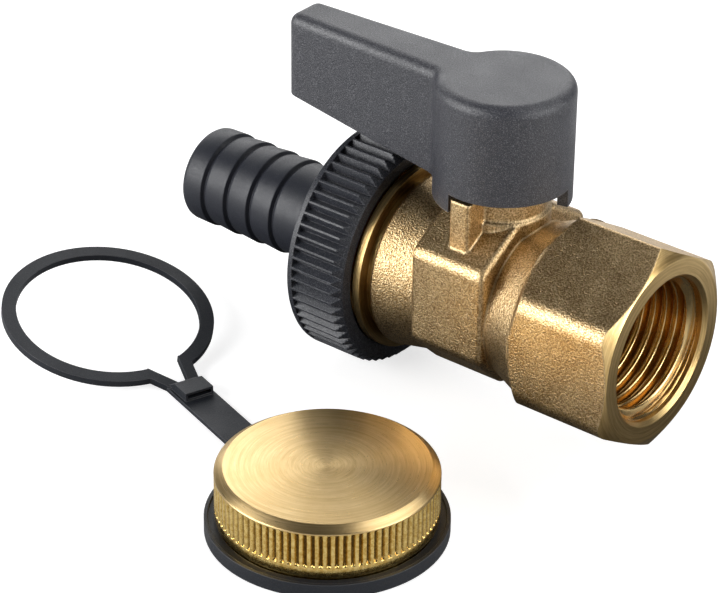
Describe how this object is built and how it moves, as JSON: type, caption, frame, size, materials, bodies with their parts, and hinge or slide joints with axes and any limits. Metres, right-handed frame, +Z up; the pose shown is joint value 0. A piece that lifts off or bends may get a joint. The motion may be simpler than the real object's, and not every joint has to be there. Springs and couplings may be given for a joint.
{
  "type": "drain cock",
  "caption": "Brass quarter-turn ball drain cock with female inlet thread, lever handle, ribbed union nut, barbed hose tail and a knurled closing cap on a plastic retainer strap.",
  "frame": {"origin": "centre of the inlet thread where its full turns begin, just inside the mouth", "axes": "+X out of the inlet mouth along the flow axis, +Z up along the stem, the hose tail towards -X"},
  "size_m": [0.0953, 0.0757, 0.0501],
  "materials": {
    "pressed_brass": "hot-pressed and blasted, machined at the mouth",
    "turned_brass": "turned bright",
    "chromed_brass": "polished",
    "seat_plastic": "turned white fluoropolymer",
    "seal_rubber": "moulded black rubber",
    "handle_plastic": "fine spark-eroded grain, glass-filled",
    "tail_plastic": "satin moulded",
    "nut_plastic": "grained moulded, glass-filled",
    "strap_plastic": "satin flexible moulding"
  },
  "bodies": {
    "valve": {"valve_body": "pressed_brass", "inlet_seat": "seat_plastic", "outlet_seat": "seat_plastic", "seat_retainer": "turned_brass", "cap_retainer": "strap_plastic"},
    "lever": {"handle": "handle_plastic", "stem": "turned_brass", "ball": "chromed_brass", "stem_thrust_washer": "seat_plastic", "stem_o_ring_lower": "seal_rubber", "stem_o_ring_upper": "seal_rubber"},
    "tail": {"hose_tail": "tail_plastic", "hose_tail_gasket": "seal_rubber"},
    "nut": {"union_nut": "nut_plastic"},
    "cap": {"closing_cap": "turned_brass", "cap_gasket": "seal_rubber"}
  },
  "joints": [
    {"name": "handle_turn", "type": "hinge", "parent": "valve", "child": "lever", "pos_m": [-0.02715, 0, 0], "axis": [0, 0, 1], "range_deg": [-90, 0]},
    {"name": "tail_draw", "type": "slide", "parent": "valve", "child": "tail", "axis": [-1, 0, 0], "range_m": [0, 0.0046]},
    {"name": "nut_turn", "type": "hinge", "parent": "tail", "child": "nut", "pos_m": [-0.047, 0, 0], "axis": [-1, 0, 0], "range_deg": [0, 900]},
    {"name": "cap_spin", "type": "hinge", "parent": "valve", "child": "cap", "pos_m": [-0.02378, -0.04215, -0.012], "axis": [0, 0, 1], "continuous": true}
  ],
  "couplings": [
    {"joint": "tail_draw", "follows": "nut_turn", "m_per_rad": 0.00028871}
  ]
}
